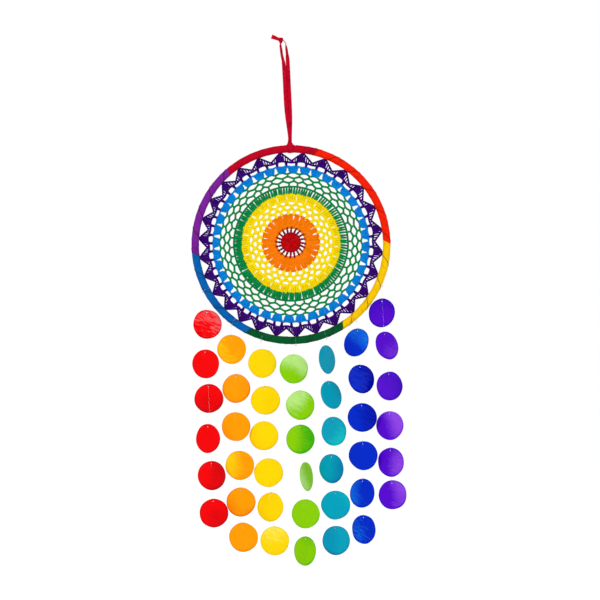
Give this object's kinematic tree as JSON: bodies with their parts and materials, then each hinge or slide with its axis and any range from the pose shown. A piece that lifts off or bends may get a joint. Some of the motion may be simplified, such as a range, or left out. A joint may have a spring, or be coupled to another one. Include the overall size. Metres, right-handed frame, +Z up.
{
  "type": "dreamcatcher",
  "caption": "Hanging ornament: a cloth-wrapped hoop laced to a crochet web, hung by a ribbon loop, with lines of dyed shell discs that swing and turn below it.",
  "frame": {"origin": "where a hook carries the ribbon, at the top of the inside of its eye", "axes": "+Z up, opposite to how it hangs; +X to the right seen from the front; the front faces -Y"},
  "size_m": [0.2316, 0.0292, 0.5868],
  "materials": {
    "ribbon_cloth": "crimson cotton ribbon",
    "steel_ring": "bare steel rod, hidden by the tape",
    "crimson_tape": "cotton tape wound round the ring",
    "orange_tape": "cotton tape wound round the ring",
    "yellow_tape": "cotton tape wound round the ring",
    "green_tape": "cotton tape wound round the ring",
    "blue_tape": "cotton tape wound round the ring",
    "purple_tape": "cotton tape wound round the ring",
    "crochet_yarn": "cotton yarn, crocheted in rounds of red, orange, yellow, green, blue and purple",
    "lacing_yarn": "dark purple cotton yarn",
    "clear_line": "clear nylon line",
    "red_shell": "dyed translucent shell, pearly gloss",
    "orange_shell": "dyed translucent shell, pearly gloss",
    "yellow_shell": "dyed translucent shell, pearly gloss",
    "green_shell": "dyed translucent shell, pearly gloss",
    "turquoise_shell": "dyed translucent shell, pearly gloss",
    "blue_shell": "dyed translucent shell, pearly gloss",
    "purple_shell": "dyed translucent shell, pearly gloss"
  },
  "bodies": {
    "ribbon": {"ribbon_loop": "ribbon_cloth"},
    "hitch": {"ribbon_hitch": "ribbon_cloth"},
    "hoop": {"hoop_core": "steel_ring", "crimson_wrap": "crimson_tape", "orange_wrap": "orange_tape", "yellow_wrap": "yellow_tape", "green_wrap": "green_tape", "blue_wrap": "blue_tape", "purple_wrap": "purple_tape", "crochet_web": "crochet_yarn", "lacing_thread": "lacing_yarn"},
    "red_strand": {"red_line": "clear_line"},
    "red_1": {"red_disc_1": "red_shell"},
    "red_2": {"red_disc_2": "red_shell"},
    "red_3": {"red_disc_3": "red_shell"},
    "red_4": {"red_disc_4": "red_shell"},
    "red_5": {"red_disc_5": "red_shell"},
    "red_6": {"red_disc_6": "red_shell"},
    "orange_strand": {"orange_line": "clear_line"},
    "orange_1": {"orange_disc_1": "orange_shell"},
    "orange_2": {"orange_disc_2": "orange_shell"},
    "orange_3": {"orange_disc_3": "orange_shell"},
    "orange_4": {"orange_disc_4": "orange_shell"},
    "orange_5": {"orange_disc_5": "orange_shell"},
    "orange_6": {"orange_disc_6": "orange_shell"},
    "yellow_strand": {"yellow_line": "clear_line"},
    "yellow_1": {"yellow_disc_1": "yellow_shell"},
    "yellow_2": {"yellow_disc_2": "yellow_shell"},
    "yellow_3": {"yellow_disc_3": "yellow_shell"},
    "yellow_4": {"yellow_disc_4": "yellow_shell"},
    "yellow_5": {"yellow_disc_5": "yellow_shell"},
    "yellow_6": {"yellow_disc_6": "yellow_shell"},
    "green_strand": {"green_line": "clear_line"},
    "green_1": {"green_disc_1": "green_shell"},
    "green_2": {"green_disc_2": "green_shell"},
    "green_3": {"green_disc_3": "green_shell"},
    "green_4": {"green_disc_4": "green_shell"},
    "green_5": {"green_disc_5": "green_shell"},
    "green_6": {"green_disc_6": "green_shell"},
    "turquoise_strand": {"turquoise_line": "clear_line"},
    "turquoise_1": {"turquoise_disc_1": "turquoise_shell"},
    "turquoise_2": {"turquoise_disc_2": "turquoise_shell"},
    "turquoise_3": {"turquoise_disc_3": "turquoise_shell"},
    "turquoise_4": {"turquoise_disc_4": "turquoise_shell"},
    "turquoise_5": {"turquoise_disc_5": "turquoise_shell"},
    "turquoise_6": {"turquoise_disc_6": "turquoise_shell"},
    "blue_strand": {"blue_line": "clear_line"},
    "blue_1": {"blue_disc_1": "blue_shell"},
    "blue_2": {"blue_disc_2": "blue_shell"},
    "blue_3": {"blue_disc_3": "blue_shell"},
    "blue_4": {"blue_disc_4": "blue_shell"},
    "blue_5": {"blue_disc_5": "blue_shell"},
    "blue_6": {"blue_disc_6": "blue_shell"},
    "purple_strand": {"purple_line": "clear_line"},
    "purple_1": {"purple_disc_1": "purple_shell"},
    "purple_2": {"purple_disc_2": "purple_shell"},
    "purple_3": {"purple_disc_3": "purple_shell"},
    "purple_4": {"purple_disc_4": "purple_shell"},
    "purple_5": {"purple_disc_5": "purple_shell"},
    "purple_6": {"purple_disc_6": "purple_shell"}
  },
  "joints": [
    {"name": "ribbon_twist", "type": "hinge", "parent": "ribbon", "child": "hitch", "pos_m": [0, 0, -0.1158], "axis": [0, 0, 1], "range_deg": [-90, 90]},
    {"name": "hoop_swing", "type": "hinge", "parent": "hitch", "child": "hoop", "pos_m": [0, 0, -0.1158], "axis": [1, 0, 0], "range_deg": [-30, 30]},
    {"name": "red_swing", "type": "hinge", "parent": "hoop", "child": "red_strand", "pos_m": [-0.10476, 0, -0.26829], "axis": [1, 0, 0], "range_deg": [-35, 35], "deforming": ["red_line"]},
    {"name": "red_turn_1", "type": "hinge", "parent": "red_strand", "child": "red_1", "pos_m": [-0.10126, 0, -0.30479], "axis": [0, 0, 1], "range_deg": [-90, 90]},
    {"name": "red_turn_2", "type": "hinge", "parent": "red_strand", "child": "red_2", "pos_m": [-0.10476, 0, -0.34829], "axis": [0, 0, 1], "range_deg": [-90, 90]},
    {"name": "red_turn_3", "type": "hinge", "parent": "red_strand", "child": "red_3", "pos_m": [-0.10376, 0, -0.38679], "axis": [0, 0, 1], "range_deg": [-90, 90]},
    {"name": "red_turn_4", "type": "hinge", "parent": "red_strand", "child": "red_4", "pos_m": [-0.10576, 0, -0.43079], "axis": [0, 0, 1], "range_deg": [-90, 90]},
    {"name": "red_turn_5", "type": "hinge", "parent": "red_strand", "child": "red_5", "pos_m": [-0.10426, 0, -0.47179], "axis": [0, 0, 1], "range_deg": [-90, 90]},
    {"name": "red_turn_6", "type": "hinge", "parent": "red_strand", "child": "red_6", "pos_m": [-0.10476, 0, -0.51329], "axis": [0, 0, 1], "range_deg": [-90, 90]},
    {"name": "orange_swing", "type": "hinge", "parent": "hoop", "child": "orange_strand", "pos_m": [-0.07515, 0, -0.30668], "axis": [1, 0, 0], "range_deg": [-35, 35], "deforming": ["orange_line"]},
    {"name": "orange_turn_1", "type": "hinge", "parent": "orange_strand", "child": "orange_1", "pos_m": [-0.07565, 0, -0.33369], "axis": [0, 0, 1], "range_deg": [-90, 90]},
    {"name": "orange_turn_2", "type": "hinge", "parent": "orange_strand", "child": "orange_2", "pos_m": [-0.07215, 0, -0.37718], "axis": [0, 0, 1], "range_deg": [-90, 90]},
    {"name": "orange_turn_3", "type": "hinge", "parent": "orange_strand", "child": "orange_3", "pos_m": [-0.07515, 0, -0.41918], "axis": [0, 0, 1], "range_deg": [-90, 90]},
    {"name": "orange_turn_4", "type": "hinge", "parent": "orange_strand", "child": "orange_4", "pos_m": [-0.07315, 0, -0.46219], "axis": [0, 0, 1], "range_deg": [-90, 90]},
    {"name": "orange_turn_5", "type": "hinge", "parent": "orange_strand", "child": "orange_5", "pos_m": [-0.07415, 0, -0.50269], "axis": [0, 0, 1], "range_deg": [-90, 90]},
    {"name": "orange_turn_6", "type": "hinge", "parent": "orange_strand", "child": "orange_6", "pos_m": [-0.07315, 0, -0.54168], "axis": [0, 0, 1], "range_deg": [-90, 90]},
    {"name": "yellow_swing", "type": "hinge", "parent": "hoop", "child": "yellow_strand", "pos_m": [-0.04284, 0, -0.32534], "axis": [1, 0, 0], "range_deg": [-35, 35], "deforming": ["yellow_line"]},
    {"name": "yellow_turn_1", "type": "hinge", "parent": "yellow_strand", "child": "yellow_1", "pos_m": [-0.04334, 0, -0.35084], "axis": [0, 0, 1], "range_deg": [-90, 90]},
    {"name": "yellow_turn_2", "type": "hinge", "parent": "yellow_strand", "child": "yellow_2", "pos_m": [-0.04134, 0, -0.39184], "axis": [0, 0, 1], "range_deg": [-90, 90]},
    {"name": "yellow_turn_3", "type": "hinge", "parent": "yellow_strand", "child": "yellow_3", "pos_m": [-0.04484, 0, -0.43084], "axis": [0, 0, 1], "range_deg": [-90, 90]},
    {"name": "yellow_turn_4", "type": "hinge", "parent": "yellow_strand", "child": "yellow_4", "pos_m": [-0.04184, 0, -0.47184], "axis": [0, 0, 1], "range_deg": [-90, 90]},
    {"name": "yellow_turn_5", "type": "hinge", "parent": "yellow_strand", "child": "yellow_5", "pos_m": [-0.03984, 0, -0.50984], "axis": [0, 0, 1], "range_deg": [-90, 90]},
    {"name": "yellow_turn_6", "type": "hinge", "parent": "yellow_strand", "child": "yellow_6", "pos_m": [-0.03884, 0, -0.54734], "axis": [0, 0, 1], "range_deg": [-90, 90]},
    {"name": "green_swing", "type": "hinge", "parent": "hoop", "child": "green_strand", "pos_m": [-0.00443, 0, -0.33221], "axis": [1, 0, 0], "range_deg": [-35, 35], "deforming": ["green_line"]},
    {"name": "green_turn_1", "type": "hinge", "parent": "green_strand", "child": "green_1", "pos_m": [-0.00843, 0, -0.35871], "axis": [0, 0, 1], "range_deg": [-90, 90]},
    {"name": "green_turn_2", "type": "hinge", "parent": "green_strand", "child": "green_2", "pos_m": [-0.00293, 0, -0.39921], "axis": [0, 0, 1], "range_deg": [-90, 90]},
    {"name": "green_turn_3", "type": "hinge", "parent": "green_strand", "child": "green_3", "pos_m": [-0.00443, 0, -0.43671], "axis": [0, 0, 1], "range_deg": [-90, 90]},
    {"name": "green_turn_4", "type": "hinge", "parent": "green_strand", "child": "green_4", "pos_m": [-0.00243, 0, -0.47821], "axis": [0, 0, 1], "range_deg": [-90, 90]},
    {"name": "green_turn_5", "type": "hinge", "parent": "green_strand", "child": "green_5", "pos_m": [-0.00243, 0, -0.51921], "axis": [0, 0, 1], "range_deg": [-90, 90]},
    {"name": "green_turn_6", "type": "hinge", "parent": "green_strand", "child": "green_6", "pos_m": [-0.00393, 0, -0.56021], "axis": [0, 0, 1], "range_deg": [-90, 90]},
    {"name": "turquoise_swing", "type": "hinge", "parent": "hoop", "child": "turquoise_strand", "pos_m": [0.02978, 0, -0.3268], "axis": [1, 0, 0], "range_deg": [-35, 35], "deforming": ["turquoise_line"]},
    {"name": "turquoise_turn_1", "type": "hinge", "parent": "turquoise_strand", "child": "turquoise_1", "pos_m": [0.02728, 0, -0.3503], "axis": [0, 0, 1], "range_deg": [-90, 90]},
    {"name": "turquoise_turn_2", "type": "hinge", "parent": "turquoise_strand", "child": "turquoise_2", "pos_m": [0.02828, 0, -0.3898], "axis": [0, 0, 1], "range_deg": [-90, 90]},
    {"name": "turquoise_turn_3", "type": "hinge", "parent": "turquoise_strand", "child": "turquoise_3", "pos_m": [0.03128, 0, -0.4298], "axis": [0, 0, 1], "range_deg": [-90, 90]},
    {"name": "turquoise_turn_4", "type": "hinge", "parent": "turquoise_strand", "child": "turquoise_4", "pos_m": [0.02878, 0, -0.4708], "axis": [0, 0, 1], "range_deg": [-90, 90]},
    {"name": "turquoise_turn_5", "type": "hinge", "parent": "turquoise_strand", "child": "turquoise_5", "pos_m": [0.03028, 0, -0.5113], "axis": [0, 0, 1], "range_deg": [-90, 90]},
    {"name": "turquoise_turn_6", "type": "hinge", "parent": "turquoise_strand", "child": "turquoise_6", "pos_m": [0.02828, 0, -0.5503], "axis": [0, 0, 1], "range_deg": [-90, 90]},
    {"name": "blue_swing", "type": "hinge", "parent": "hoop", "child": "blue_strand", "pos_m": [0.06312, 0, -0.30922], "axis": [1, 0, 0], "range_deg": [-35, 35], "deforming": ["blue_line"]},
    {"name": "blue_turn_1", "type": "hinge", "parent": "blue_strand", "child": "blue_1", "pos_m": [0.06512, 0, -0.33372], "axis": [0, 0, 1], "range_deg": [-90, 90]},
    {"name": "blue_turn_2", "type": "hinge", "parent": "blue_strand", "child": "blue_2", "pos_m": [0.06412, 0, -0.37372], "axis": [0, 0, 1], "range_deg": [-90, 90]},
    {"name": "blue_turn_3", "type": "hinge", "parent": "blue_strand", "child": "blue_3", "pos_m": [0.06462, 0, -0.41622], "axis": [0, 0, 1], "range_deg": [-90, 90]},
    {"name": "blue_turn_4", "type": "hinge", "parent": "blue_strand", "child": "blue_4", "pos_m": [0.06362, 0, -0.45822], "axis": [0, 0, 1], "range_deg": [-90, 90]},
    {"name": "blue_turn_5", "type": "hinge", "parent": "blue_strand", "child": "blue_5", "pos_m": [0.06212, 0, -0.49972], "axis": [0, 0, 1], "range_deg": [-90, 90]},
    {"name": "blue_turn_6", "type": "hinge", "parent": "blue_strand", "child": "blue_6", "pos_m": [0.06112, 0, -0.53972], "axis": [0, 0, 1], "range_deg": [-90, 90]},
    {"name": "purple_swing", "type": "hinge", "parent": "hoop", "child": "purple_strand", "pos_m": [0.0943, 0, -0.27159], "axis": [1, 0, 0], "range_deg": [-35, 35], "deforming": ["purple_line"]},
    {"name": "purple_turn_1", "type": "hinge", "parent": "purple_strand", "child": "purple_1", "pos_m": [0.0933, 0, -0.3021], "axis": [0, 0, 1], "range_deg": [-90, 90]},
    {"name": "purple_turn_2", "type": "hinge", "parent": "purple_strand", "child": "purple_2", "pos_m": [0.0928, 0, -0.33859], "axis": [0, 0, 1], "range_deg": [-90, 90]},
    {"name": "purple_turn_3", "type": "hinge", "parent": "purple_strand", "child": "purple_3", "pos_m": [0.0958, 0, -0.3831], "axis": [0, 0, 1], "range_deg": [-90, 90]},
    {"name": "purple_turn_4", "type": "hinge", "parent": "purple_strand", "child": "purple_4", "pos_m": [0.0953, 0, -0.4266], "axis": [0, 0, 1], "range_deg": [-90, 90]},
    {"name": "purple_turn_5", "type": "hinge", "parent": "purple_strand", "child": "purple_5", "pos_m": [0.0943, 0, -0.46709], "axis": [0, 0, 1], "range_deg": [-90, 90]},
    {"name": "purple_turn_6", "type": "hinge", "parent": "purple_strand", "child": "purple_6", "pos_m": [0.0933, 0, -0.50309], "axis": [0, 0, 1], "range_deg": [-90, 90]}
  ]
}
